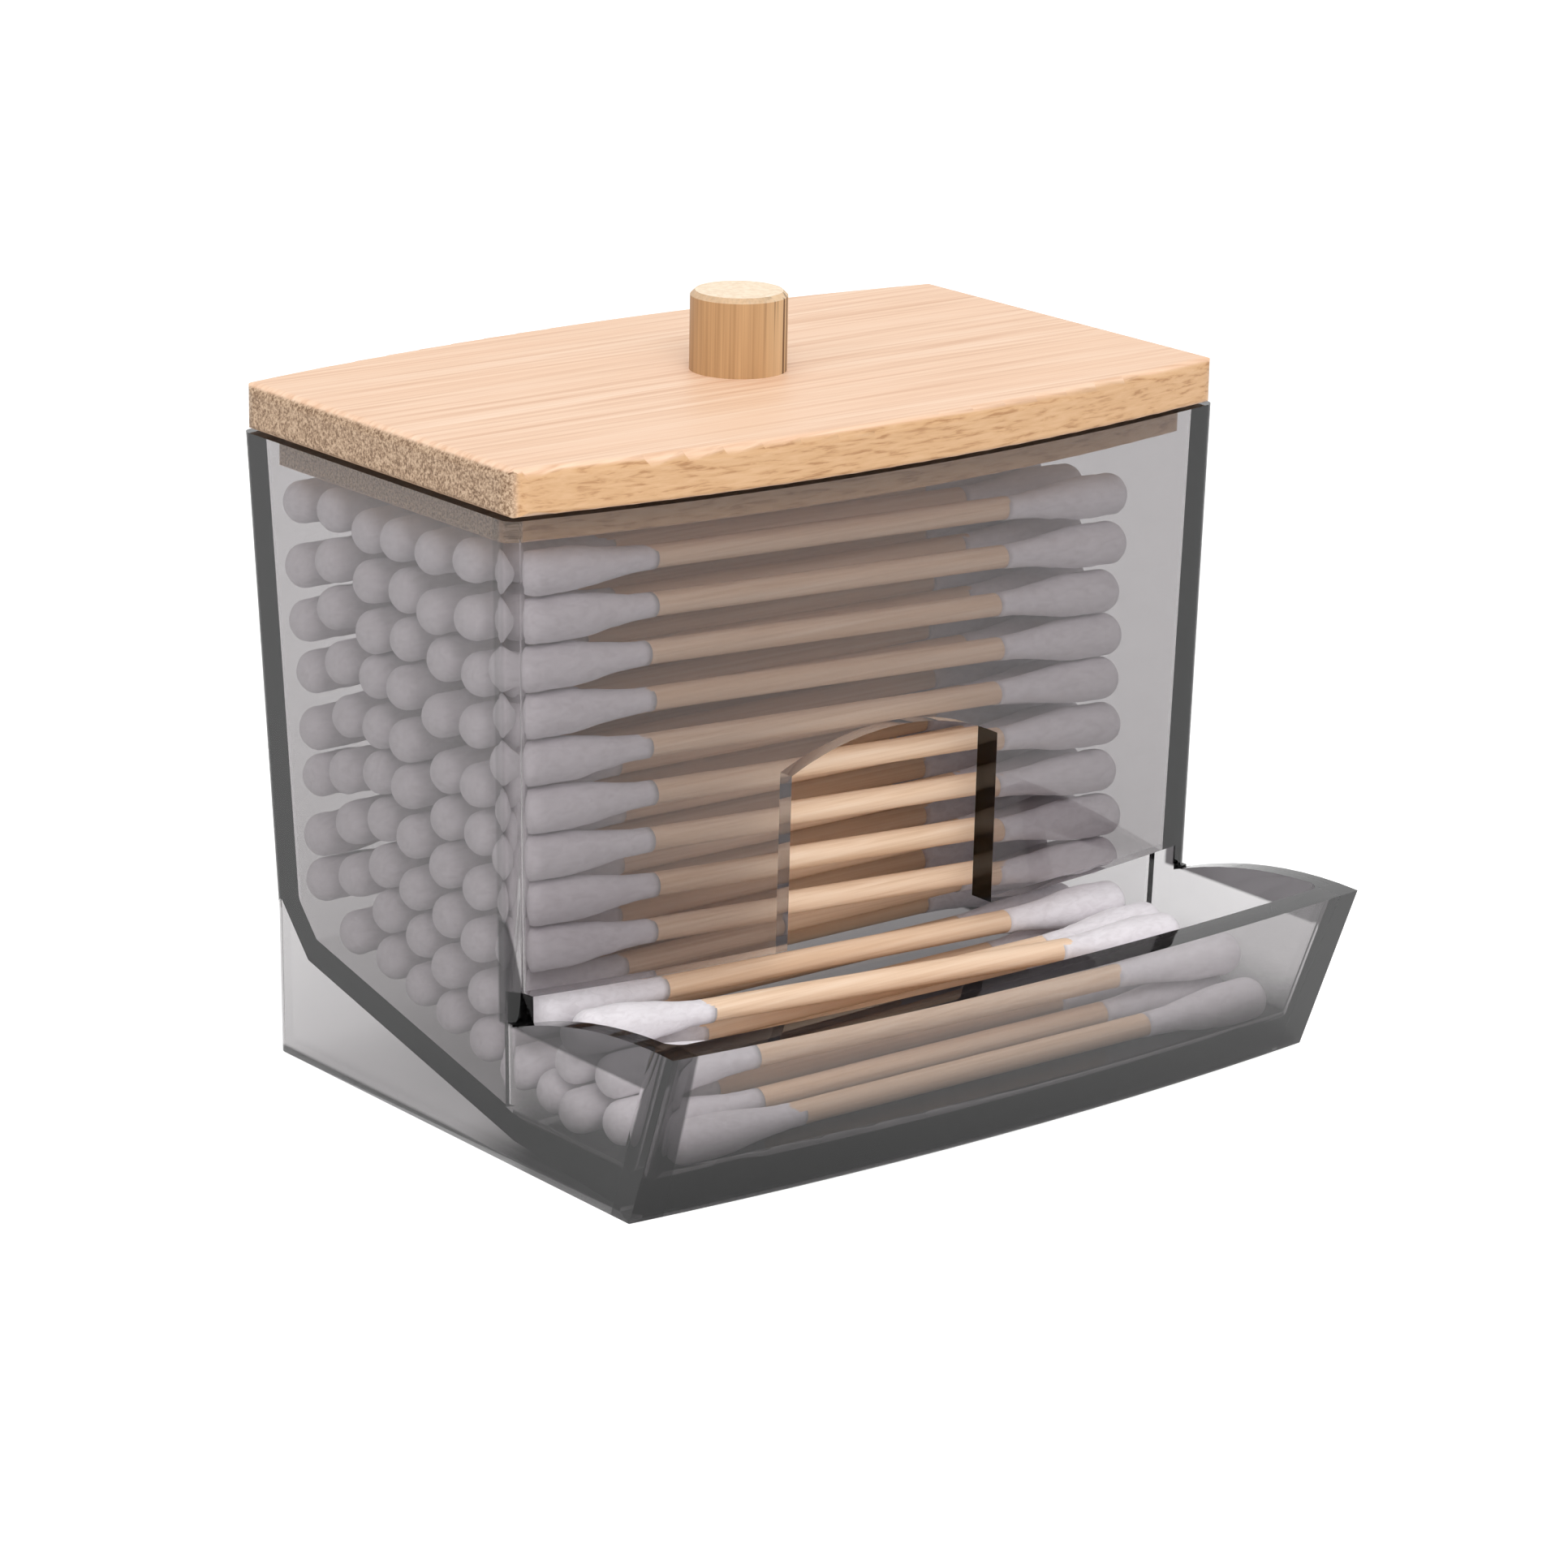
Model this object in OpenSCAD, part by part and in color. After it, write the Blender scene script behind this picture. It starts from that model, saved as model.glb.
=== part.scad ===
// Cotton swab holder: a clear smoke-tinted hopper moulded in one piece, with a sloping floor,
// a tray at the front and a finger notch, closed by a bamboo lid with a round knob.
// Millimetres, +Z up, +Y to the back. The origin is under the middle of the whole object.

/* [Hopper] */
// Free room past the swabs' ends at the hopper's foot, both ends together
end_room = 5.47; // [3.5:0.01:12]
// Depth of the hopper at its rim, measured at its corners
rim_d = 45.8; // [40:0.2:60]
// Height of the rim above the table
rim_z = 65; // [55:0.5:90]
// How far the front and the back bow outward in the middle
bow = 4.4; // [2:0.1:6]
// Thickness of the front wall and the back wall
wall = 3; // [2.2:0.1:3.6]
// Thickness of the side walls at the rim
side_wall = 2.4; // [1.8:0.1:3.2]
// Draft of the side walls outside, in degrees
side_draft = 1.1; // [0.5:0.1:1.6]
// Draft of the side walls inside, in degrees
core_draft = 1.6; // [0.5:0.1:2]
// Draft of the front wall, in degrees
front_draft = 0.6; // [0.3:0.1:1.5]
// Lean of the back wall, in degrees
back_lean = 4.6; // [2:0.1:6]
// Radius of the upright corners outside
corner_r = 1.5; // [0.8:0.1:2.2]
// Radius of the upright corners inside
core_r = 1; // [0.4:0.1:2]

/* [Floor] */
// Height of the floor's underside above the table at the front
foot_h = 0.4; // [0.2:0.1:1.2]
// Height of the floor's underside above the table where its slope begins
knee_z = 1.9; // [1.4:0.1:3]
// Thickness of the floor
floor_t = 3; // [2.2:0.1:3.6]
// Slope of the hopper's floor, in degrees
floor_slope = 13.8; // [11:0.1:16]
// Height at which the back wall bends into the floor
bend_z = 15.2; // [13.5:0.1:19]
// Slope of the bevel between the back wall and the floor, in degrees
bend_slope = 49; // [40:1:60]
// Height of that bevel
bend_h = 4.5; // [3:0.1:6]

/* [Tray] */
// Height of the tray's floor inside
tray_z = 4.2; // [3.6:0.1:6]
// How far the tray's base reaches in front of the hopper's corners
tray_reach = 18.2; // [15:0.1:24]
// Height of the tray's lip
lip_z = 18.6; // [17:0.1:22]
// Outward lean of the tray's front, in degrees
tray_lean = 20.6; // [12:0.1:26]
// How far the tray's front bows outward in the middle
tray_bow = 2.6; // [1:0.1:4]
// Thickness of the tray's front
tray_wall = 3; // [2.2:0.1:3.6]
// Radius of the tray's upright corners inside
tray_r = 2.4; // [1:0.1:3]
// Radius between the tray's floor and its walls
tray_floor_r = 1.8; // [0.8:0.1:2.4]
// Step by which the tray is wider inside than the hopper, on each side
tray_step = 0.6; // [0.2:0.1:1]
// Height of the tray's sides where they meet the hopper
side_z = 14.4; // [12:0.1:16]
// Rise of the curve along the tray's sides
side_rise = 1.3; // [0.6:0.1:2]

/* [Slot and notch] */
// Height of the front wall's lower edge, over the slot where the swabs come out
slot_z = 17.3; // [16:0.1:22]
// Width of the finger notch
notch_w = 26.7; // [20:0.1:36]
// Height of the notch's sides above the slot
notch_h = 18.2; // [10:0.1:26]
// Rise of the arch over the notch
notch_rise = 3.2; // [1:0.1:6]

/* [Lid] */
// Thickness of the lid's board
lid_t = 4.7; // [3.5:0.1:6]
// Height of the rabbet that drops inside the rim
plug_h = 3; // [2:0.1:5]
// Play between the rabbet and the walls, on each side
plug_play = 0.6; // [0.4:0.05:1]
// Gap between the lid's board and the rim
lid_gap = 0.3; // [0.2:0.05:0.5]
// How far the lid overhangs the front wall and the back wall
lid_over = 0.2; // [0:0.1:1]
// How far the lid's ends stand back from the side walls
lid_inset = 0.2; // [0:0.1:1]
// Radius along the lid's top edge
lid_edge = 1.2; // [0.5:0.1:1.5]
// Radius along the lid's lower edge
lid_foot = 0.6; // [0.3:0.1:1]
// Radius of the lid's corners
lid_corner = 2.4; // [1.5:0.1:4]
// Diameter of the knob
knob_d = 10; // [8:0.5:16]
// Height of the knob
knob_h = 8.2; // [7.5:0.1:14]
// Bevel round the knob's top
knob_bevel = 0.5; // [0.2:0.1:1]
// Diameter of the screw that holds the knob
screw_d = 3; // [2.5:0.1:3.5]
// Length of the screw under its head
screw_l = 12; // [9:0.1:12]

/* [Swabs] */
// Length of a swab
swab_l = 76.5; // [70:0.5:90]
// Diameter of a swab's cotton head
head_d = 4.5; // [4:0.05:5]
// Length of a cotton head
head_l = 16; // [12:0.5:20]
// Diameter of a swab's stick
stick_d = 2.4; // [1.8:0.1:2.6]
// Free space between the pile and the lid
pile_gap = 3; // [2.6:0.1:8]
// How much higher the pile stands at its left end
pile_lean = 2; // [0.5:0.1:2.2]
// Seed of the small shifts in the pile
pile_seed = 7; // [1:1:50]

/* [Hidden] */

smoke = [0.45, 0.44, 0.46, 0.5];
bamboo = [0.93, 0.78, 0.6];
stick_tan = [0.88, 0.72, 0.52];
cotton = [0.93, 0.92, 0.95];
steel = [0.72, 0.72, 0.74];

big = 200;
eps = 0.01;
fn_bow = 720;
fn_round = 64;
fn_swab = 24;

// Half sizes at the rim, and the radius of a bow through the corners and the middle
rim_w = swab_l + end_room + 2 * (side_wall + rim_z * tan(core_draft));
half_w = rim_w / 2;
half_d = rim_d / 2;
function bow_radius(w, b) = (w * w + b * b) / (2 * b);
bow_r = bow_radius(half_w, bow);
tray_bow_r = bow_radius(half_w, tray_bow);

// Faces of the walls at a height z, at the hopper's corners
function side_x(z) = half_w - (rim_z - z) * tan(side_draft);
function core_x(z) = half_w - side_wall - (rim_z - z) * tan(core_draft);
function front_y(z) = -half_d + (rim_z - z) * tan(front_draft);
function back_y(z) = half_d - (rim_z - z) * tan(back_lean);
// How far a bowed wall of radius r stands out at x, past its corners at x = w
function bow_at(x, w, b) = b * (1 - (x / w) * (x / w));

// Tray: foot of its front at the table, and its lip
tray_y = -half_d - tray_reach;
lip_y = tray_y - lip_z * tan(tray_lean);

// Whole object: front of the lip and back of the lid, whose middle is the origin
front_reach = lip_y - tray_bow;
back_reach = max(half_d + bow, half_d + bow + lid_over);
home_y = -(front_reach + back_reach) / 2;

// Floor's underside in the side view: bevel at the back, slope, then the thicker floor of the tray
bevel_y = back_y(bend_z) - bend_h / tan(bend_slope);
bevel_z = bend_z - bend_h;
knee_y = bevel_y - (bevel_z - knee_z) / tan(floor_slope);
toe_y = tray_y + tray_wall;

// Top face of the floor at y, for the slope and the bevel, and where the slope meets the tray's floor
function slope_z(y) = knee_z + (y - knee_y) * tan(floor_slope) + floor_t / cos(floor_slope);
function bend_top_z(y) = bevel_z + (y - bevel_y) * tan(bend_slope) + floor_t / cos(bend_slope);
floor_knee_y = knee_y + (tray_z - slope_z(knee_y)) / tan(floor_slope);
floor_bend_y = (slope_z(0) - bend_top_z(0)) / (tan(bend_slope) - tan(floor_slope));

// Lid
lid_z = rim_z + lid_gap;
lid_half_w = half_w - lid_inset;
lid_half_d = half_d + lid_over;
lid_bow_r = bow_radius(lid_half_w, bow);
screw_head_d = screw_d * 2;
screw_head_h = screw_d * 0.6;
knob_base_z = lid_z + lid_t;
screw_z = rim_z - plug_h + 0.1;

// Pile: clearances, the pitch of touching heads, and the faces that the heads lie against
clear = 0.12;
play_y = 0.15;
end_clear = 0.3;
end_play = (end_room - 2 * end_clear) * 0.2;
head_r = head_d / 2;
pitch = head_d + clear;
head_x = core_x(0) - end_clear - head_r;
pile_top_z = rim_z - plug_h - pile_gap - head_r;
function front_inner(z) = front_y(z) + wall - bow_at(head_x, half_w, bow);
function back_inner(z) = back_y(max(z, bend_z)) - wall + bow_at(head_x, half_w, bow);
pile_y0 = front_inner(slot_z) + head_r + clear + play_y;
function pile_room(z) = back_inner(z) - head_r - clear - play_y - pile_y0;
columns = floor(pile_room(bend_z) / (pitch + 2 * play_y)) + 1;

module bow_front(z0, y_mid, tilt, r) {
    translate([0, y_mid, z0]) rotate([tilt, 0, 0]) translate([0, r, -big])
        cylinder(r = r, h = 2 * big, $fn = fn_bow);
}

module drafted_block(half_top, draft, z_top) {
    foot = half_top - z_top * tan(draft);
    up = half_top + big * tan(draft);
    rotate([90, 0, 0]) translate([0, 0, -big]) linear_extrude(2 * big)
        polygon([[-foot, 0], [foot, 0], [up, z_top + big], [-up, z_top + big]]);
}

// Rounds the edge from p to q, with n1 and n2 as the outward normals of its two faces
module edge_cut(p, q, n1, n2, r) {
    e = (q - p) / norm(q - p);
    a = n1 - (n1 * e) * e;
    u = a / norm(a);
    v = cross(e, u);
    b = [n2 * u, n2 * v];
    m = b / norm(b);
    c = [-r, r * (m[0] - 1) / m[1]];
    multmatrix([[u[0], v[0], e[0], p[0]], [u[1], v[1], e[1], p[1]], [u[2], v[2], e[2], p[2]], [0, 0, 0, 1]])
        linear_extrude(norm(q - p)) difference() {
            polygon([c, c + [r, 0], c + [r + 1, 0], [1, (1 - m[0]) / m[1]], c + (r + 1) * m, c + r * m]);
            translate(c) circle(r = r, $fn = fn_round);
        }
}

// Point of a wall's upright edge at the height z, for half widths w and depths y at the corners; s is -1 at the front
function edge_point(x, y, z, s) = [x, y + s * bow_at(x, half_w, bow), z];

// Rounds the upright edges of a box between bowed walls, at the front from the height z_from up,
// for the half width w0 at the rim and walls taken in by t
module upright_cuts(w0, draft, t, r, z_from) {
    function w_at(z) = w0 - (rim_z - z) * tan(draft);
    phi = asin(half_w / bow_r);
    n1 = [1, 0, -tan(draft)];
    up = rim_z + 6;
    for (m = [0, 1]) mirror([m, 0, 0]) {
        intersection() {
            edge_cut(edge_point(w_at(-1), front_y(-1) + t, -1, -1), edge_point(w_at(up), front_y(up) + t, up, -1),
                n1, [sin(phi), -cos(phi), -tan(front_draft)], r);
            translate([0, -big, z_from]) cube(2 * big);
        }
        intersection() {
            edge_cut(edge_point(w_at(0), back_y(0) - t, 0, 1), edge_point(w_at(up), back_y(up) - t, up, 1),
                n1, [sin(phi), cos(phi), -tan(back_lean)], r);
            translate([0, 0, bend_z]) cube(big);
        }
        intersection() {
            edge_cut(edge_point(w_at(-1), back_y(bend_z) - t, -1, 1), edge_point(w_at(up), back_y(bend_z) - t, up, 1),
                n1, [sin(phi), cos(phi), 0], r);
            translate([0, 0, bend_z - big]) cube(big);
        }
    }
}

module side_profile(points, half) {
    translate([-half, 0, 0]) rotate([90, 0, 90]) linear_extrude(2 * half) polygon(points);
}

// Space between the bowed front and the bowed back, taken in by t from the outer faces
module bowed_shell(t) {
    intersection() {
        bow_front(rim_z, -half_d - bow + t, front_draft, bow_r - t);
        union() {
            intersection() {
                rotate([0, 0, 180]) bow_front(rim_z, -half_d - bow + t, back_lean, bow_r - t);
                translate([-big, -big, bend_z]) cube(2 * big);
            }
            intersection() {
                rotate([0, 0, 180]) bow_front(bend_z, -back_y(bend_z) - bow + t, 0, bow_r - t);
                translate([-big, -big, bend_z - 2 * big + eps]) cube(2 * big);
            }
        }
    }
}

module hopper_outer() {
    intersection() {
        bowed_shell(0);
        drafted_block(side_x(rim_z), side_draft, rim_z);
        translate([-big, -big, 0]) cube([2 * big, 2 * big, rim_z]);
    }
}

// Room above the floor's top face, out to y_front and up past the rim
module above_floor(y_front) {
    side_profile([
        [y_front, tray_z],
        [floor_knee_y, tray_z],
        [floor_bend_y, slope_z(floor_bend_y)],
        [big, bend_top_z(big)],
        [big, 2 * big],
        [y_front, 2 * big]
    ], big);
}

module hopper_cavity() {
    difference() {
        intersection() {
            bowed_shell(wall);
            drafted_block(core_x(rim_z), core_draft, rim_z);
            above_floor(-big / 2);
        }
        upright_cuts(core_x(rim_z), core_draft, wall, core_r, -2);
    }
}

// Curve along the tray's sides: a circle through the lip and the side's height at the hopper
side_from = [front_y(side_z), side_z];
side_to = [lip_y, lip_z];
side_chord = norm(side_to - side_from);
side_r = bow_radius(side_chord / 2, side_rise);
side_dir = (side_to - side_from) / side_chord;
side_mid = (side_from + side_to) / 2 - [side_dir[1], -side_dir[0]] * (side_r - side_rise);

module tray_outer() {
    intersection() {
        translate([0, tray_y - tray_bow + tray_bow_r, 0])
            cylinder(r1 = tray_bow_r, r2 = tray_bow_r + rim_z * tan(tray_lean), h = rim_z, $fn = fn_bow);
        drafted_block(side_x(rim_z), side_draft, rim_z);
        translate([-big, side_mid[0], side_mid[1]]) rotate([0, 90, 0])
            cylinder(r = side_r, h = 2 * big, $fn = fn_bow);
        translate([-big, -big, 0]) cube([2 * big, big - half_d + wall, rim_z]);
    }
}

// Rounds the foot of a cone of radius w at the table, leaning out by the angle a, onto a floor at z_floor
module ring_cut(w, a, z_floor, r) {
    c = [w + (z_floor + r) * tan(a) - r / cos(a), z_floor + r];
    t = c + r * [cos(a), -sin(a)];
    rotate_extrude($fn = fn_bow) difference() {
        polygon([c, [c[0], z_floor - 0.5], [t[0] + 3, z_floor - 0.5], [t[0] + 3, t[1]], t]);
        translate(c) circle(r = r, $fn = fn_round);
    }
}

// Room inside the tray up to z_top, reaching back into the hopper; its corners are cut a hair inside the tangent
module tray_room(z_top) {
    w = core_x(0) + tray_step;
    r = tray_bow_r - tray_wall / cos(tray_lean);
    axis_y = tray_y - tray_bow + tray_bow_r;
    hair = 0.08;
    phi = asin(w / r);
    side_n = [cos(core_draft), 0, -sin(core_draft)];
    front_n = [sin(phi) * cos(tray_lean), -cos(phi) * cos(tray_lean), -sin(tray_lean)];
    function corner(z) = let (x = w + z * tan(core_draft) + hair, a = r + z * tan(tray_lean) + hair)
        [x, axis_y - sqrt(a * a - x * x), z];
    function foot(y) = [w + tray_z * tan(core_draft) + hair, y, tray_z - hair];
    difference() {
        intersection() {
            translate([0, axis_y, 0])
                cylinder(r1 = r, r2 = r + rim_z * tan(tray_lean), h = rim_z, $fn = fn_bow);
            drafted_block(core_x(rim_z) + tray_step, core_draft, rim_z);
            above_floor(-big / 2);
            translate([-big, -big, 0]) cube([2 * big, big - half_d + 2 * wall, z_top]);
        }
        for (m = [0, 1]) mirror([m, 0, 0]) {
            edge_cut(corner(-3), corner(lip_z + 6), side_n, front_n, tray_r);
            edge_cut(foot(-big / 2), foot(floor_knee_y + 3), side_n, [0, 0, -1], tray_floor_r);
        }
        translate([0, axis_y, 0]) ring_cut(r, tray_lean, tray_z, tray_floor_r);
    }
}

// Slot under the front wall, between the hopper and the tray
module slot() {
    difference() {
        tray_room(slot_z);
        bow_front(rim_z, -half_d - bow + wall + eps, front_draft, bow_r - wall - eps);
    }
}

// Hollow under the floor, open at the back and below, between the side walls
module underside() {
    intersection() {
        side_profile([
            [toe_y, -1], [toe_y, foot_h], [knee_y, knee_z], [bevel_y, bevel_z],
            [big, bevel_z + (big - bevel_y) * tan(bend_slope)], [big, -1]
        ], big);
        translate([0, 0, -1]) drafted_block(core_x(rim_z), core_draft, rim_z);
    }
}

module notch() {
    r = bow_radius(notch_w / 2, notch_rise);
    top = slot_z + notch_h + notch_rise;
    intersection() {
        translate([-notch_w / 2, -half_d - bow - wall, slot_z - wall]) cube([notch_w, half_d + bow, big]);
        translate([0, big, top - r]) rotate([90, 0, 0]) cylinder(r = r, h = 2 * big, $fn = fn_bow);
    }
}

module hopper_body() {
    color(smoke) translate([0, home_y, 0]) difference() {
        union() {
            hopper_outer();
            difference() {
                tray_outer();
                tray_room(rim_z);
            }
        }
        upright_cuts(side_x(rim_z), side_draft, 0, corner_r, side_z + 0.3);
        hopper_cavity();
        slot();
        underside();
        notch();
    }
}

// Half of a board's section: rounded by edge at the top and by foot below
module soft_edge(w, h, edge, foot) {
    translate([0, foot]) square([w, h - edge - foot]);
    square([w - foot, foot + eps]);
    translate([0, h - edge - eps]) square([w - edge, edge + eps]);
    translate([w - edge, h - edge]) circle(r = edge, $fn = fn_round);
    translate([w - foot, foot]) circle(r = foot, $fn = fn_round);
}

// What a rounded upright corner takes off a bowed plan of half width w, at its corner y
module corner_cut(w, cy, r_bow, r, h) {
    mx = w - r;
    my = cy - sqrt((r_bow - r) * (r_bow - r) - mx * mx);
    k = r_bow / (r_bow - r);
    tip = [mx * k, cy + (my - cy) * k];
    linear_extrude(h) difference() {
        polygon([[mx, my], [w + r, my], [w + r, tip[1] - r], [tip[0], tip[1] - r], tip]);
        translate([mx, my]) circle(r = r, $fn = fn_round);
    }
}

module bowed_board(w, d, b, h, edge, foot, r_corner) {
    r = bow_radius(w, b);
    cy = -d - b + r;
    difference() {
        intersection() {
            translate([0, cy, 0]) rotate_extrude($fn = fn_bow) soft_edge(r, h, edge, foot);
            translate([0, -cy, 0]) rotate_extrude($fn = fn_bow) soft_edge(r, h, edge, foot);
            rotate([90, 0, 0]) translate([0, 0, -big]) linear_extrude(2 * big) {
                soft_edge(w, h, edge, foot);
                mirror([1, 0]) soft_edge(w, h, edge, foot);
            }
        }
        for (m = [0, 1], n = [0, 1]) mirror([m, 0, 0]) mirror([0, n, 0]) translate([0, 0, -eps])
            corner_cut(w, cy, r, r_corner, h + 1);
    }
}

module lid_board() {
    plug_w = core_x(rim_z) - plug_play;
    plug_d = half_d - wall - plug_play;
    color(bamboo) translate([0, home_y, 0]) difference() {
        union() {
            translate([0, 0, lid_z])
                bowed_board(lid_half_w, lid_half_d, bow, lid_t, lid_edge, lid_foot, lid_corner);
            translate([0, 0, rim_z - plug_h])
                bowed_board(plug_w, plug_d, bow, plug_h + lid_gap + lid_foot, 0.2, 0.4, corner_r);
        }
        translate([0, 0, rim_z - plug_h - 1]) cylinder(d = screw_d + 0.3, h = big, $fn = fn_round);
        translate([0, 0, rim_z - plug_h - eps])
            cylinder(d = screw_head_d + 0.4, h = screw_head_h + 0.2, $fn = fn_round);
    }
}

module lid_knob() {
    r = knob_d / 2;
    bore = screw_l - (knob_base_z - screw_z - screw_head_h) + 0.5;
    color(bamboo) translate([0, home_y, knob_base_z]) difference() {
        union() {
            cylinder(r = r, h = knob_h - knob_bevel, $fn = fn_round);
            translate([0, 0, knob_h - knob_bevel])
                cylinder(r1 = r, r2 = r - knob_bevel, h = knob_bevel, $fn = fn_round);
        }
        translate([0, 0, -1]) cylinder(d = screw_d + 0.04, h = bore + 1, $fn = fn_round);
    }
}

module knob_screw() {
    color(steel) translate([0, home_y, screw_z]) difference() {
        union() {
            cylinder(d = screw_head_d, h = screw_head_h, $fn = fn_round);
            cylinder(d = screw_d, h = screw_head_h + screw_l, $fn = fn_round);
        }
        for (a = [0, 90]) rotate([0, 0, a]) translate([-screw_d / 2, -0.35, -eps])
            cube([screw_d, 0.7, screw_head_h / 2]);
    }
}

// Lays what stands along +Z from the point p toward the point q
module along(p, q) {
    d = q - p;
    translate(p) rotate([0, acos(d[2] / norm(d)), atan2(d[1], d[0])]) children();
}

stick_in = 3;
module stick() {
    translate([0, 0, stick_in]) cylinder(d = stick_d, h = swab_l - 2 * stick_in, $fn = fn_swab);
}

// Cotton head wound round the stick's end: round at the tip, full, then tapering onto the stick
module tip() {
    neck = stick_d / 2 + 0.2;
    bore = stick_d / 2 + 0.02;
    cap = head_r * 0.8;
    rotate_extrude($fn = fn_swab) polygon([
        [0, 0],
        for (a = [30, 55, 75]) [head_r * sin(a), cap * (1 - cos(a))],
        [head_r, cap], [head_r, head_l * 0.42],
        for (t = [0.25, 0.5, 0.75]) [neck + (head_r - neck) * (1 + cos(180 * t)) / 2, head_l * (0.42 + 0.58 * t)],
        [neck, head_l], [bore, head_l], [bore, stick_in - 0.02], [0, stick_in - 0.02]
    ]);
}

module tips() {
    tip();
    translate([0, 0, swab_l]) mirror([0, 0, 1]) tip();
}

// Small shifts: a fixed random number from 0 to 1 for the swab in column c, row r, kind k
function chance(c, r, k) = rands(0, 1, 1, pile_seed * 1000 + c * 100 + r * 8 + k)[0];
function share(c, k, r) = r == 0 ? 0 : share(c, k, r - 1) + chance(c, r, k);

// Columns of swabs from the front wall to the back wall, spread over the depth at the height z
function column_y(c, z) = pile_y0 + c * pile_room(z) / (columns - 1);
// Middle of a head that lies on the floor, its slope or its bevel, at the depth y
function seat_z(y) = max(
    tray_z + head_r + clear,
    slope_z(y) + (head_r + clear) / cos(floor_slope),
    bend_top_z(y) + (head_r + clear) / cos(bend_slope));
// Lowest and highest middles of a column's heads, at the left end, k = 0, and the right end, k = 1.
// The front column starts behind the slot's edge, over the swab that lies in the slot, and leans more.
function column_base(c, k) = c > 0 ? seat_z(column_y(c, bend_z + head_d) + play_y)
    : k == 0 ? slot_z + head_d * 0.8 : slot_z - head_d * 0.27;
function column_top(c, k) = pile_top_z + (k == 0 ? pile_lean : c == 0 ? -head_d * 0.2 : 0)
    - head_d * 0.25 * (c == 0 ? 0 : chance(c, 11, k));
function column_rows(c) = floor(min(column_top(c, 0) - column_base(c, 0), column_top(c, 1) - column_base(c, 1)) / pitch) + 1;
function column_slack(c, k) = column_top(c, k) - column_base(c, k) - (column_rows(c) - 1) * pitch;

// Height and depth of the swab's middle line at the left end, k = 0, or the right end, k = 1
function swab_z(c, r, k) = column_base(c, k) + r * pitch
    + column_slack(c, k) * share(c, k, r) / share(c, k, column_rows(c) - 1);
function swab_y(c, r, k) = column_y(c, swab_z(c, r, k)) + (2 * chance(c, r, k + 2) - 1) * play_y;

// Lays a swab through the points a and b, given as [y, z] at the hopper's two sides
module lay(a, b, shift) {
    p = [-half_w, a[0], a[1]];
    q = [half_w, b[0], b[1]];
    start = half_w - core_x(a[1] - head_d) + end_clear + shift;
    along(p + (q - p) / norm(q - p) * start, q) children();
}

module column(c) {
    for (r = [0 : column_rows(c) - 1])
        lay([swab_y(c, r, 0), swab_z(c, r, 0)], [swab_y(c, r, 1), swab_z(c, r, 1)], end_play * chance(c, r, 5))
            children();
}

module pile(from, to) {
    translate([0, home_y, 0]) for (c = [from : to]) column(c) children();
}

// Swabs in the slot and the tray, each as its [y, z] at the left and at the right
function on_floor(y) = [y, seat_z(y)];
// Middle of a head that nests on two others, a in front of b, lifted a little
function nest(a, b, lift) = let (d = b - a, h = sqrt(max(pitch * pitch - d * d / 4, 0)))
    (a + b) / 2 + [-d[1], d[0]] / norm(d) * h + [0, lift];
// Foremost place for a head's middle at the height z, against the tray's front
function lip_inner(z) = tray_y - z * tan(tray_lean) - bow_at(head_x, half_w, tray_bow)
    + (tray_wall + head_r + clear) / cos(tray_lean);
rest_z = tray_z + head_r + clear;
rest_step = pitch * 1.05;
slot_1 = [on_floor(pile_y0 - 0.1), on_floor(pile_y0)];
slot_2 = [on_floor(pile_y0 - rest_step), on_floor(pile_y0 - 0.1 - rest_step)];
slot_3 = [on_floor(pile_y0 - 2 * rest_step), on_floor(pile_y0 - 0.1 - 2 * rest_step)];
lip_1 = [on_floor(lip_inner(rest_z) + 0.5), on_floor(lip_inner(rest_z) + 0.2)];
lip_2 = [(lip_1[0] + slot_3[0]) / 2, (lip_1[1] + slot_3[1]) / 2 - [0.1, 0]];
over_1 = [[(slot_1[0][0] + slot_2[0][0]) / 2, slot_z - head_r - clear - 0.2], nest(slot_2[1], slot_1[1], 0.4) + [0.4, 0]];
over_2 = [nest(slot_3[0], slot_2[0], 0.1), nest(slot_3[1], slot_2[1], 0.1)];
over_3 = [nest(lip_2[0], slot_3[0], 0.2), nest(lip_1[1], lip_2[1], 0.5)];
top_1 = [nest(over_3[0], over_2[0], 0.4), nest(lip_2[1], slot_3[1], 0.15)];
laid = [slot_1, slot_2, slot_3, lip_1, lip_2, over_1, over_2, over_3, top_1];
laid_shift = [0.12, 0.24, 0.06, 0.6, 0.36, 0.1, 0.3, 0.5, 0.05] * (end_room - 2 * end_clear);

module tray_place(n) {
    translate([0, home_y, 0]) lay(laid[n - 1][0], laid[n - 1][1], laid_shift[n - 1]) children();
}

hopper_body();
lid_board();
lid_knob();
knob_screw();
color(stick_tan) pile(0, 0) stick();  // pile_front_sticks
color(cotton) pile(0, 0) tips();  // pile_front_tips
color(stick_tan) pile(1, 2) stick();  // pile_second_sticks
color(cotton) pile(1, 2) tips();  // pile_second_tips
color(stick_tan) pile(3, 4) stick();  // pile_middle_sticks
color(cotton) pile(3, 4) tips();  // pile_middle_tips
color(stick_tan) pile(5, columns - 1) stick();  // pile_rear_sticks
color(cotton) pile(5, columns - 1) tips();  // pile_rear_tips
color(stick_tan) tray_place(1) stick();  // tray_swab_1_stick
color(cotton) tray_place(1) tips();  // tray_swab_1_tips
color(stick_tan) tray_place(2) stick();  // tray_swab_2_stick
color(cotton) tray_place(2) tips();  // tray_swab_2_tips
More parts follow.
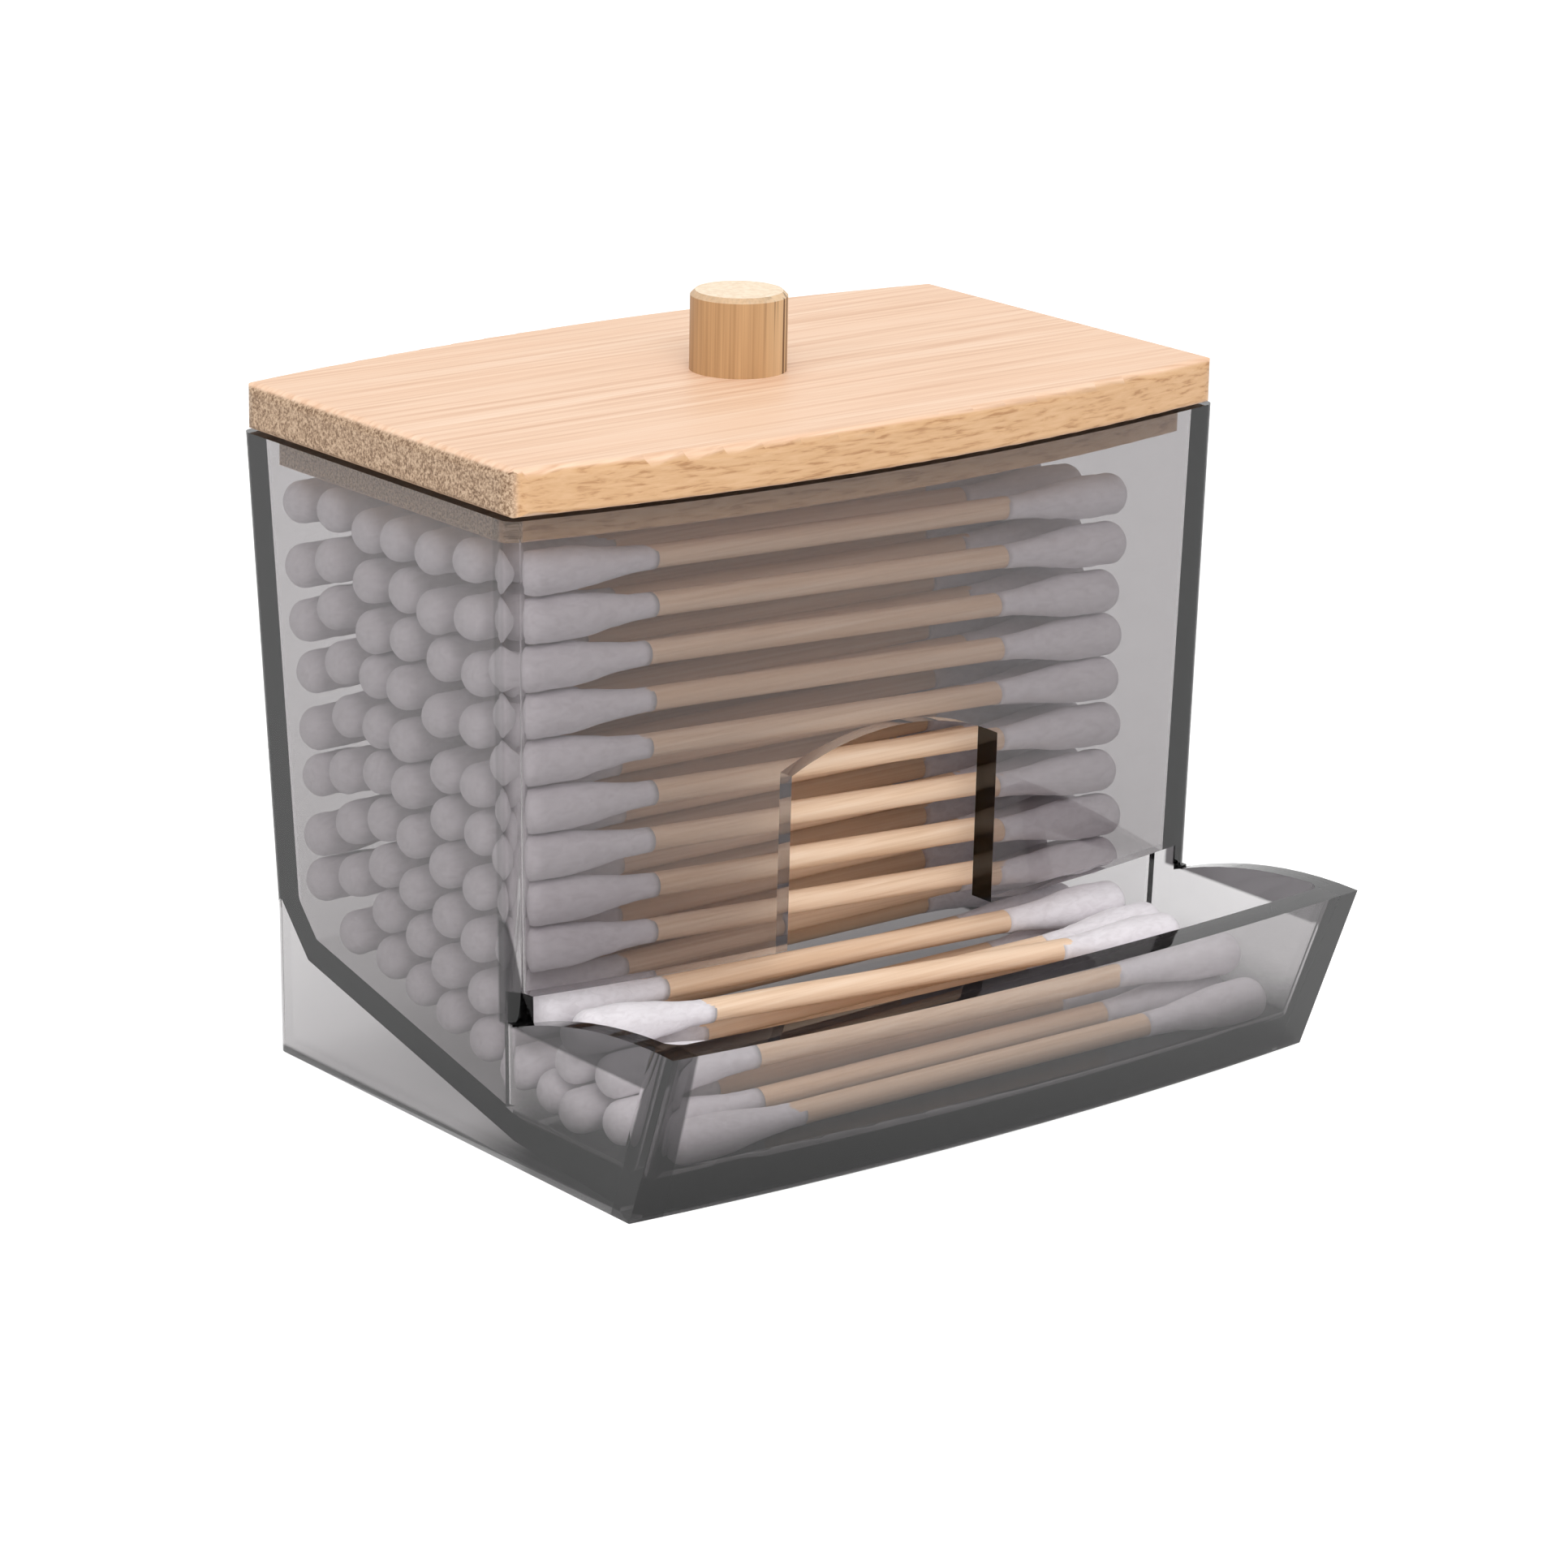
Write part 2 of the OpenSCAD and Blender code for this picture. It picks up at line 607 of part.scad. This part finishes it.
color(stick_tan) tray_place(3) stick();  // tray_swab_3_stick
color(cotton) tray_place(3) tips();  // tray_swab_3_tips
color(stick_tan) tray_place(4) stick();  // tray_swab_4_stick
color(cotton) tray_place(4) tips();  // tray_swab_4_tips
color(stick_tan) tray_place(5) stick();  // tray_swab_5_stick
color(cotton) tray_place(5) tips();  // tray_swab_5_tips
color(stick_tan) tray_place(6) stick();  // tray_swab_6_stick
color(cotton) tray_place(6) tips();  // tray_swab_6_tips
color(stick_tan) tray_place(7) stick();  // tray_swab_7_stick
color(cotton) tray_place(7) tips();  // tray_swab_7_tips
color(stick_tan) tray_place(8) stick();  // tray_swab_8_stick
color(cotton) tray_place(8) tips();  // tray_swab_8_tips
color(stick_tan) tray_place(9) stick();  // tray_swab_9_stick
color(cotton) tray_place(9) tips();  // tray_swab_9_tips
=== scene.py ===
"""Looks of the cotton swab holder.

A smoke-tinted clear hopper with its tray, a bamboo lid and knob, and wound cotton heads on bamboo sticks.
Lengths are in metres, in the frame of the CAD model: X to the right, Y to the back, Z up from the table.
"""
import math
import random

import bpy
import numpy as np
from mathutils import Matrix, Vector


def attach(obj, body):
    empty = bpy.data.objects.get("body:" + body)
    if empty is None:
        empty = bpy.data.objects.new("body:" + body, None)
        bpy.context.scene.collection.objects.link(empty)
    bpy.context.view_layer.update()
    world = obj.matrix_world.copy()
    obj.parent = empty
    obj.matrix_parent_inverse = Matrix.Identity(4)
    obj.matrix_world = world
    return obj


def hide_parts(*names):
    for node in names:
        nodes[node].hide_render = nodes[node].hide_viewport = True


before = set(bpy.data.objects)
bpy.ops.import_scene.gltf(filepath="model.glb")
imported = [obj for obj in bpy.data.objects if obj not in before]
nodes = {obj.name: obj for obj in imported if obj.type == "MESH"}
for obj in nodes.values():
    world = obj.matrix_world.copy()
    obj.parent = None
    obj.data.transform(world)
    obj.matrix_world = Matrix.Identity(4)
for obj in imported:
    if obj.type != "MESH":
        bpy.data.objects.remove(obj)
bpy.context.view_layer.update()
scene = bpy.context.scene
scene.view_settings.view_transform = "Standard"

WHITE = (1, 1, 1, 1)


# ---------------------------------------------------------------- helpers
def lin(r, g, b):
    """A colour given as 0-255 sRGB, as the linear RGBA that a socket takes."""
    out = []
    for c in (r, g, b):
        c /= 255
        out.append(c / 12.92 if c <= 0.04045 else ((c + 0.055) / 1.055) ** 2.4)
    return (*out, 1.0)


def add_object(name, data):
    obj = bpy.data.objects.new(name, data)
    scene.collection.objects.link(obj)
    return obj


def dress(obj, mat):
    obj.data.materials.clear()
    obj.data.materials.append(mat)


class Shade:
    """A short way to write the node tree of a material or of the world."""

    def __init__(self, owner, output="ShaderNodeOutputMaterial"):
        owner.use_nodes = True
        self.owner = owner
        self.tree = owner.node_tree
        self.tree.nodes.clear()
        self.out = self.add(output)

    def add(self, kind, sockets=None, **settings):
        """A new node. Each socket takes a value or another node's output."""
        node = self.tree.nodes.new(kind)
        for key, value in settings.items():
            setattr(node, key, value)
        for key, value in (sockets or {}).items():
            if isinstance(value, bpy.types.NodeSocket):
                self.tree.links.new(value, node.inputs[key])
            else:
                node.inputs[key].default_value = value
        return node

    def done(self, surface, volume=None):
        self.tree.links.new(surface, self.out.inputs["Surface"])
        if volume is not None:
            self.tree.links.new(volume, self.out.inputs["Volume"])
        return self.owner

    # fields
    def coord(self, which):
        """Object is the point in the frame, and Normal the way that the surface faces."""
        return self.add("ShaderNodeTexCoord").outputs[which]

    def split(self, which):
        """The x, y and z of a coordinate."""
        return tuple(self.add("ShaderNodeSeparateXYZ", {0: self.coord(which)}).outputs)

    def noise(self, scale, detail=3.0, rough=0.5, warp=0.0, place=(0, 0, 0)):
        """Noise with its own scale along X, Y and Z, in cycles a metre."""
        spot = self.add("ShaderNodeMapping",
                        {"Vector": self.coord("Object"), "Scale": scale, "Location": place})
        noise = self.add("ShaderNodeTexNoise",
                         {"Vector": spot.outputs["Vector"], "Scale": 1.0, "Detail": detail,
                          "Roughness": rough, "Distortion": warp})
        return noise.outputs["Fac"]

    def math(self, how, *values):
        return self.add("ShaderNodeMath", dict(enumerate(values)), operation=how).outputs[0]

    def plus(self, a, b):
        return self.math("ADD", a, b)

    def minus(self, a, b):
        return self.math("SUBTRACT", a, b)

    def times(self, a, b):
        return self.math("MULTIPLY", a, b)

    def most(self, a, b):
        return self.math("MAXIMUM", a, b)

    def size(self, a):
        return self.math("ABSOLUTE", a)

    def rise(self, value, low, high):
        """0 below low, 1 above high, smooth between."""
        return self.add("ShaderNodeMapRange", {"Value": value, "From Min": low, "From Max": high},
                        interpolation_type="SMOOTHSTEP").outputs["Result"]

    def fall(self, value, low, high):
        """1 below low, 0 above high, smooth between."""
        return self.minus(1.0, self.rise(value, low, high))

    # colours
    def ramp(self, value, stops):
        node = self.add("ShaderNodeValToRGB", {"Fac": value})
        elements = node.color_ramp.elements
        while len(elements) < len(stops):
            elements.new(0.5)
        for element, (position, colour) in zip(elements, stops):
            element.position = position
            element.color = colour
        return node.outputs["Color"]

    def mix(self, share, a, b):
        """Colour a, or b where share is 1."""
        return self.add("ShaderNodeMix", {0: share, 6: a, 7: b}, data_type="RGBA").outputs[2]

    def patches(self, under, colour, field, low, high, share):
        """A share of the colour, laid over what is under it where the field is high."""
        return self.mix(self.times(self.rise(field, low, high), share), under, colour)

    # shaders
    def bump(self, height, strength, distance):
        return self.add("ShaderNodeBump", {"Height": height, "Strength": strength,
                                           "Distance": distance}).outputs["Normal"]

    def principled(self, **sockets):
        """The Principled shader, with _ for each space in its sockets' names."""
        named = {key.replace("_", " "): value for key, value in sockets.items()}
        return self.add("ShaderNodeBsdfPrincipled", named).outputs[0]

    def diffuse(self, colour):
        return self.add("ShaderNodeBsdfDiffuse", {"Color": colour}).outputs[0]

    def glow(self, strength):
        return self.add("ShaderNodeEmission", {"Strength": strength}).outputs[0]

    def background(self, strength):
        return self.add("ShaderNodeBackground", {"Color": WHITE, "Strength": strength}).outputs[0]

    def together(self, a, b):
        return self.add("ShaderNodeAddShader", {0: a, 1: b}).outputs[0]

    def choose(self, share, a, b):
        """Shader a, or b where share is 1."""
        return self.add("ShaderNodeMixShader", {0: share, 1: a, 2: b}).outputs[0]

    def rays(self):
        return self.add("ShaderNodeLightPath").outputs


def material(name):
    return Shade(bpy.data.materials.new(name))


# ---------------------------------------------------------------- materials
def smoke_acrylic():
    """Clear plastic with an even smoke tint.

    Painted shade darkens its colour in the tray's upright corners, in its thick base, and in a wedge over each
    of its sides.
    Each pair below is where a soft border starts and ends.
    """
    side_lean, tray_lean = 0.0194, 0.376        # how far the sides and the tray's front lean out in a metre
    side_face = (0.04365, 0.04405)              # x of a side's outer face, at the table
    corner_width, corner_taper = 0.0038, 0.06   # a corner's width at the table, less this much of the height
    tray_inner_face = (-0.0268, -0.0264)        # y at the table
    wedge_face = (0.04385, 0.04405)             # x of the same outer face, over the tray's sides
    wedge_top, wedge_taper = 0.0254, 0.15       # the wedge ends at this height, and widens below it
    wedge_back = (-0.009, -0.0085)              # y
    wedge_foot = (0.0142, 0.0146)               # z, the top of the tray's sides
    base_top, base_back = (0.003, 0.0105), (-0.014, -0.010)     # z and y
    base_share = 0.72
    # dark is the colour of the painted shade; tint is the smoke's own even colour in the acrylic
    dark, tint = (0.045, 0.042, 0.045, 1), (0.045, 0.0, 0.015, 1)
    tint_density = 168.0

    s = material("smoke_acrylic")
    x, y, z = s.split("Object")
    foot_x = s.minus(s.size(x), s.times(z, side_lean))      # brought down to the table along the lean
    foot_y = s.plus(y, s.times(z, tray_lean))
    width = s.minus(corner_width, s.times(z, corner_taper))
    corner = s.times(s.rise(s.plus(foot_x, width), *side_face), s.fall(foot_y, *tray_inner_face))
    reach = s.times(s.most(s.minus(wedge_top, z), 0.0), wedge_taper)
    wedge = s.times(s.rise(s.plus(foot_x, reach), *wedge_face), s.fall(y, *wedge_back))
    wedge = s.times(wedge, s.rise(z, *wedge_foot))
    base = s.times(s.fall(z, *base_top), s.fall(y, *base_back))
    # painted shade: where the surface colour goes over to dark, standing in for the shade under and inside the
    # tray
    painted_shade = s.most(s.most(corner, wedge), s.times(base, base_share))

    ripple = s.bump(s.noise((60, 60, 25), detail=2), strength=0.05, distance=0.0002)
    clear = s.principled(Base_Color=s.mix(painted_shade, WHITE, dark), Roughness=0.0, IOR=1.49,
                         Transmission_Weight=1.0, Normal=ripple)
    let_light_in = s.add("ShaderNodeBsdfTransparent", {"Color": WHITE}).outputs[0]
    smoke = s.add("ShaderNodeVolumeAbsorption", {"Color": tint, "Density": tint_density}).outputs[0]
    return s.done(s.choose(s.rays()["Is Shadow Ray"], clear, let_light_in), smoke)


def board_bamboo():
    """The lid: fibres along X on top, short wavy marks on the front and back edges, pores on the ends."""
    edge_turn = (0.55, 0.85)        # a face turned this far to the front or the end takes that look

    s = material("board_bamboo")
    fibre = s.noise((22, 1100, 1100), detail=3, rough=0.6, warp=0.2)
    dash = s.noise((60, 1700, 1700), detail=2, rough=0.6, place=(3, 1, 2))
    strip = s.noise((5, 150, 150), detail=2, rough=0.5)
    top = s.ramp(fibre, [(0.3, lin(222, 178, 145)), (0.5, lin(240, 203, 173)), (0.7, lin(247, 216, 190))])
    top = s.patches(top, lin(226, 180, 146), dash, low=0.56, high=0.72, share=0.45)
    top = s.patches(top, lin(240, 199, 167), strip, low=0.4, high=0.7, share=0.3)

    mark = s.noise((260, 1500, 2300), detail=3, rough=0.6, warp=0.4)
    edge = s.ramp(mark, [(0.35, lin(214, 174, 134)), (0.54, lin(206, 164, 122)), (0.68, lin(176, 132, 92))])
    pore = s.noise((900, 3600, 3600), detail=2, rough=0.7)
    end = s.ramp(pore, [(0.36, lin(118, 90, 66)), (0.5, lin(170, 141, 114)), (0.62, lin(204, 176, 148))])

    to_end, to_front, _ = s.split("Normal")
    colour = s.mix(s.rise(s.size(to_front), *edge_turn), top, edge)
    colour = s.mix(s.rise(s.size(to_end), *edge_turn), colour, end)
    skin = s.bump(s.plus(fibre, s.times(pore, 0.4)), strength=0.25, distance=0.0001)
    return s.done(s.principled(Base_Color=colour, Roughness=0.48, IOR=1.45, Specular_IOR_Level=0.35,
                               Normal=skin))


def knob_bamboo():
    """The knob: pale end grain on its flat top, and dark upright stripes, mostly on its right side."""
    top_turn = (0.6, 0.9)                   # a face turned this far up takes the top's look
    right_side = (-0.0005, 0.0022)          # x
    side_waver = 0.0015                     # how far the right side's border wanders
    right_pale = 0.6                        # how far the right side goes over to its paler colour
    stripes_right, stripes_left = 0.9, 0.08

    s = material("knob_bamboo")
    stripe = s.noise((900, 900, 14), detail=2, rough=0.55, warp=0.1)
    fine = s.noise((2600, 2600, 40), detail=2, rough=0.6, place=(5, 0, 0))
    waver = s.times(s.noise((300, 300, 10), detail=1), side_waver)
    right = s.rise(s.plus(s.split("Object")[0], waver), *right_side)
    side = s.ramp(fine, [(0.3, lin(172, 134, 94)), (0.7, lin(200, 160, 116))])
    side = s.mix(s.times(right, right_pale), side, lin(226, 192, 150))
    striped = s.plus(s.times(right, stripes_right), stripes_left)
    side = s.patches(side, lin(104, 72, 42), stripe, low=0.5, high=0.57, share=striped)
    grain = s.noise((1500, 1500, 1500), detail=2, rough=0.6)
    top = s.ramp(grain, [(0.35, lin(240, 216, 186)), (0.65, lin(252, 234, 208))])

    colour = s.mix(s.rise(s.split("Normal")[2], *top_turn), side, top)
    skin = s.bump(stripe, strength=0.3, distance=0.00015)
    return s.done(s.principled(Base_Color=colour, Roughness=0.5, IOR=1.45, Specular_IOR_Level=0.35,
                               Normal=skin))


def stick_bamboo():
    """The swabs' sticks: fibres along X, and some sticks a little darker than others."""
    s = material("stick_bamboo")
    fibre = s.noise((35, 2600, 2600), detail=3, rough=0.6)
    lot = s.noise((3, 420, 420), detail=1, rough=0.5, place=(7, 2, 1))
    colour = s.ramp(fibre, [(0.3, lin(232, 198, 166)), (0.5, lin(244, 213, 184)), (0.7, lin(250, 223, 197))])
    colour = s.patches(colour, lin(224, 186, 150), lot, low=0.45, high=0.7, share=0.35)
    skin = s.bump(fibre, strength=0.25, distance=0.0001)
    return s.done(s.principled(Base_Color=colour, Roughness=0.55, IOR=1.45, Specular_IOR_Level=0.3,
                               Normal=skin))


def cotton():
    """Matt wound cotton: fine wisps over soft lumps."""
    s = material("cotton")
    wisp = s.noise((700, 1500, 1500), detail=3, rough=0.55, warp=0.8)
    lump = s.noise((180, 300, 300), detail=2, rough=0.5)
    colour = s.ramp(wisp, [(0.3, lin(226, 220, 224)), (0.6, lin(238, 233, 237))])
    skin = s.bump(s.plus(wisp, s.times(lump, 1.5)), strength=0.25, distance=0.0002)
    return s.done(s.principled(Base_Color=colour, Roughness=0.95, Specular_IOR_Level=0.1, Sheen_Weight=0.25,
                               Sheen_Roughness=0.6, Normal=skin))


def plated_steel():
    """The hidden screw: bright plating with fine marks round it."""
    s = material("plated_steel")
    marks = s.noise((2000, 2000, 9000), detail=2, rough=0.6)
    colour = s.ramp(marks, [(0.3, lin(150, 150, 154)), (0.7, lin(200, 200, 205))])
    skin = s.bump(marks, strength=0.2, distance=0.00005)
    return s.done(s.principled(Base_Color=colour, Metallic=1.0, Roughness=0.32, Normal=skin))


def dress_cad_nodes():
    looks = {"hopper_body": smoke_acrylic(), "lid_board": board_bamboo(), "lid_knob": knob_bamboo(),
             "knob_screw": plated_steel()}
    stick = stick_bamboo()
    for name, obj in nodes.items():
        if name in looks:
            dress(obj, looks[name])
        elif name.endswith(("_stick", "_sticks")):
            dress(obj, stick)


# ---------------------------------------------------------------- cotton heads
WELD = 4e-6                             # points nearer than this are one
AROUND, ALONG, TIP_RINGS = 28, 22, 9    # points round a head, rings along it, and how many gather at its tip
RING_POWER = 1.5                        # how closely they gather
STICK_R = 0.00121
CAP_LENGTH, CAP_POWER = 0.8, 2.3        # the tip's length in radii, and its bluntness: 2 is a round one
TAPER_POWER = 0.78                      # below 1 the taper is steeper at its start
NECK = 0.03                             # how thick the cotton is where it ends on the stick, in radii
FILL = (0.955, 0.99)                    # how much of the outline's radius a head fills
FULL = (0.3, 0.4)                       # where its taper starts, as a share of its length
TURN = 6.28                             # a whole turn
WAVES, WAVE_RATE = 5, 6                 # how many waves make a head uneven, and how fast they run along it
WAVE_SIZE, WAVE_LOBES = (0.004, 0.014), (1, 4)  # of each wave: its size in radii, and its lobes round the head
WAVE_SPEED = (1, 6)                     # its own speed along the head
WIND_SIZE, WIND_RATE = 0.008, 60        # the fine spiral that the winding leaves
SMOOTH_FROM, SMOOTH_SHARE = 0.93, 0.4   # near the stick the waves are weaker
LARGEST = 0.998                         # no point reaches past the outline
NEAR_NECK, OVER_STICK = 1.05, 1.01      # near the neck the cotton stays over the stick
TIP_IN = 0.00004                        # how far the tip's own point is set in
TUCK_IN, TUCK = 0.0002, 0.9             # the last ring lies this far back, inside the stick's radius


def loose_parts(obj):
    """The vertices of each separate solid in a CAD node, one array each."""
    co = np.zeros(len(obj.data.vertices) * 3, np.float32)
    obj.data.vertices.foreach_get("co", co)
    co = co.reshape(-1, 3).astype(float)
    key, index = np.unique(np.round(co / WELD).astype(np.int64), axis=0, return_inverse=True)
    index = index.ravel()
    parent = np.arange(len(key))

    def root(i):
        while parent[i] != i:
            parent[i] = parent[parent[i]]
            i = parent[i]
        return i

    edges = np.zeros(len(obj.data.edges) * 2, np.int32)
    obj.data.edges.foreach_get("vertices", edges)
    for a, b in index[edges.reshape(-1, 2)]:
        root_a, root_b = root(a), root(b)
        if root_a != root_b:
            parent[root_a] = root_b
    label = np.array([root(i) for i in index])
    return [co[label == k] for k in np.unique(label)]


def ring_places():
    """Where a head's rings lie, from 0 at its tip to 1 on the stick: close together at the tip, then even."""
    turn = (TIP_RINGS / ALONG) ** RING_POWER
    tip = [(i / ALONG) ** RING_POWER for i in range(1, TIP_RINGS)]
    rest = [turn + (1 - turn) * (i - TIP_RINGS) / (ALONG - TIP_RINGS) for i in range(TIP_RINGS, ALONG + 1)]
    return tip + rest


def outline(u, length, radius, full, neck):
    """A head's radius at u of its length: a blunt round tip, a full barrel, a taper onto the stick."""
    cap = radius * CAP_LENGTH
    if u * length < cap:
        return radius * (1 - (1 - u * length / cap) ** CAP_POWER) ** (1 / CAP_POWER)
    if u < full:
        return radius
    k = (u - full) / (1 - full)
    return neck + (radius - neck) * (1 + math.cos(math.pi * k ** TAPER_POWER)) / 2


def head(points, rng, verts, faces):
    """Add one wound, slightly uneven cotton head in the place of the CAD head with these points."""
    mid = points.mean(0)
    axis = np.linalg.svd(points - mid, full_matrices=False)[2][0]
    if axis[0] * mid[0] > 0:
        axis = -axis                    # it points from the tip to the stick
    along = (points - mid) @ axis
    radius = np.linalg.norm(points - mid - np.outer(along, axis), axis=1).max()
    tip, length = mid + axis * along.min(), along.max() - along.min()
    side = np.cross(axis, (0, 0, 1))
    side /= np.linalg.norm(side)
    up = np.cross(side, axis)
    angles = [2 * math.pi * j / AROUND for j in range(AROUND)]
    spokes = [side * math.cos(a) + up * math.sin(a) for a in angles]

    fill = rng.uniform(*FILL)
    full = rng.uniform(*FULL)
    waves = [(rng.uniform(*WAVE_SIZE), rng.randint(*WAVE_LOBES), rng.uniform(*WAVE_SPEED),
              rng.uniform(0, TURN)) for _ in range(WAVES)]
    wind = rng.uniform(0, TURN)
    neck = STICK_R + radius * NECK

    first = len(verts)
    verts.append(tuple(tip + axis * TIP_IN))
    for u in ring_places():
        r = outline(u, length, radius, full, neck)
        uneven = min(1, u * length / radius) * (1 if u < SMOOTH_FROM else SMOOTH_SHARE)
        for a, spoke in zip(angles, spokes):
            w = sum(m * math.sin(n * a + f * u * WAVE_RATE + p) for m, n, f, p in waves)
            w += WIND_SIZE * math.sin(a + u * WIND_RATE + wind)
            rr = r * (fill + w * uneven)
            rr = min(rr, r * LARGEST) if r > neck * NEAR_NECK else max(rr, STICK_R * OVER_STICK)
            verts.append(tuple(tip + axis * (u * length) + spoke * rr))
    last, end = len(verts) - AROUND, len(verts)
    verts.extend(tuple(tip + axis * (length - TUCK_IN) + spoke * STICK_R * TUCK) for spoke in spokes)

    for j in range(AROUND):
        k = (j + 1) % AROUND
        faces.append((first, first + 1 + k, first + 1 + j))
        for p in range(first + 1, last, AROUND):
            q = p + AROUND
            faces.append((p + j, p + k, q + k, q + j))
        faces.append((last + j, last + k, end + k, end + j))
    faces.append(tuple(end + j for j in range(AROUND)))


def wind_heads(name, look):
    """Put wound heads in the place of one CAD node's plain ones."""
    rng = random.Random(name)
    verts, faces = [], []
    for points in sorted(loose_parts(nodes[name]), key=lambda part: tuple(part.mean(0))):
        head(points, rng, verts, faces)
    mesh = bpy.data.meshes.new(name.replace("_tips", "_cotton"))
    mesh.from_pydata(verts, [], faces)
    mesh.shade_smooth()
    piece = add_object(mesh.name, mesh)
    dress(piece, look)
    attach(piece, "hopper")
    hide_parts(name)


# ---------------------------------------------------------------- stage, lights and camera
FLOOR_HALF = 6                          # half its width
SEEN_GLOW, SEEN_GREY = 0.75, 0.5        # the floor as the camera sees it: white, with a faint shadow
# the second colour is a painted contact shadow under the holder, seen through the acrylic
FLOOR_WHITE, FLOOR_PAINTED_SHADOW = (0.95, 0.95, 0.95, 1), (0.03, 0.028, 0.03, 1)
FLOOR_LIFT = 0.28                       # brings the floor near white where it is seen through the acrylic
WORLD_LIGHT, WORLD_SEEN = 0.58, 1.0     # how bright the world is as a light, and where it is seen
LAMPS = {                               # place, power in watts and diameter
    "key": ((-0.9, -1.5, 1.5), 19, 1.3),
    "fill": ((-0.1, -1.7, 0.5), 5, 1.5),
    "left": ((-1.8, -0.3, 0.8), 4, 1.3),
    "top": ((0.1, 0.2, 2.2), 10.5, 1.6),
}
LAMP_AIM = (0, 0, 0.04)

# the photograph's camera, fitted to the corners of the lid and the hopper
CAMERA_PLACE = (-0.3294, -0.4070, 0.1879)
CAMERA_TURN, CAMERA_PITCH, CAMERA_ROLL = 38.792, 16.922, 1.102      # degrees
FOCAL_PIXELS, PHOTO_PIXELS = 6575.769, 1932
SENSOR = 36                             # millimetres


def floor_white():
    """A white floor, dark where the holder stands on it: under its tray and its side walls' feet.

    That dark part is a painted contact shadow, and shows only through the acrylic. The camera itself sees a
    plain white floor with a shadow.
    Each pair below is where a soft border starts and ends.
    """
    tray_front, tray_back = (-0.0335, -0.029), (-0.0105, 0.004)     # y
    foot_inside, side = (0.0405, 0.0414), (0.0442, 0.0452)          # x
    back = (0.033, 0.036)                                           # y

    s = material("floor_white")
    rays = s.rays()
    x, y, _ = s.split("Object")
    x = s.size(x)
    behind_front = s.rise(y, *tray_front)
    tray = s.times(behind_front, s.fall(y, *tray_back))
    foot = s.times(s.rise(x, *foot_inside), behind_front)
    within = s.times(s.fall(x, *side), s.fall(y, *back))
    # under: the painted contact shadow, seen only by rays through the acrylic
    under = s.times(s.times(s.most(tray, foot), within), rays["Is Transmission Ray"])

    through = s.most(rays["Is Transmission Ray"], rays["Is Glossy Ray"])
    lift = s.glow(s.times(s.times(s.minus(1.0, under), through), FLOOR_LIFT))
    table = s.together(s.diffuse(s.mix(under, FLOOR_WHITE, FLOOR_PAINTED_SHADOW)), lift)
    seen = s.together(s.glow(SEEN_GLOW), s.diffuse((SEEN_GREY, SEEN_GREY, SEEN_GREY, 1)))
    return s.done(s.choose(rays["Is Camera Ray"], table, seen))


def stage():
    h = FLOOR_HALF
    mesh = bpy.data.meshes.new("floor")
    mesh.from_pydata([(-h, -h, 0), (h, -h, 0), (h, h, 0), (-h, h, 0)], [], [(0, 1, 2, 3)])
    floor = add_object("floor", mesh)
    dress(floor, floor_white())

    s = Shade(bpy.data.worlds.new("studio"), "ShaderNodeOutputWorld")
    rays = s.rays()
    seen = s.most(s.most(rays["Is Camera Ray"], rays["Is Glossy Ray"]), rays["Is Transmission Ray"])
    scene.world = s.done(s.choose(seen, s.background(WORLD_LIGHT), s.background(WORLD_SEEN)))


def lamp(name, place, power, size):
    data = bpy.data.lights.new(name, "AREA")
    data.energy, data.shape, data.size = power, "DISK", size
    obj = add_object(name, data)
    obj.location = place
    obj.rotation_euler = (Vector(LAMP_AIM) - Vector(place)).to_track_quat("-Z", "Y").to_euler()


def camera():
    turn, pitch, roll = (math.radians(angle) for angle in (CAMERA_TURN, CAMERA_PITCH, CAMERA_ROLL))
    forward = Vector((math.sin(turn) * math.cos(pitch), math.cos(turn) * math.cos(pitch), -math.sin(pitch)))
    level = Vector((math.cos(turn), -math.sin(turn), 0))
    upright = level.cross(forward)
    right = level * math.cos(roll) + upright * math.sin(roll)
    up = -level * math.sin(roll) + upright * math.cos(roll)
    data = bpy.data.cameras.new("camera")
    data.sensor_width = SENSOR
    data.lens = SENSOR * FOCAL_PIXELS / PHOTO_PIXELS
    data.clip_start, data.clip_end = 0.01, 30
    obj = add_object("camera", data)
    matrix = Matrix((right, up, -forward)).transposed().to_4x4()
    matrix.translation = CAMERA_PLACE
    obj.matrix_world = matrix
    scene.camera = obj


dress_cad_nodes()
cotton_look = cotton()
for name in sorted(nodes):
    if name.endswith("_tips"):
        wind_heads(name, cotton_look)
stage()
for name, (place, power, size) in LAMPS.items():
    lamp(name, place, power, size)
camera()

bpy.context.view_layer.update()
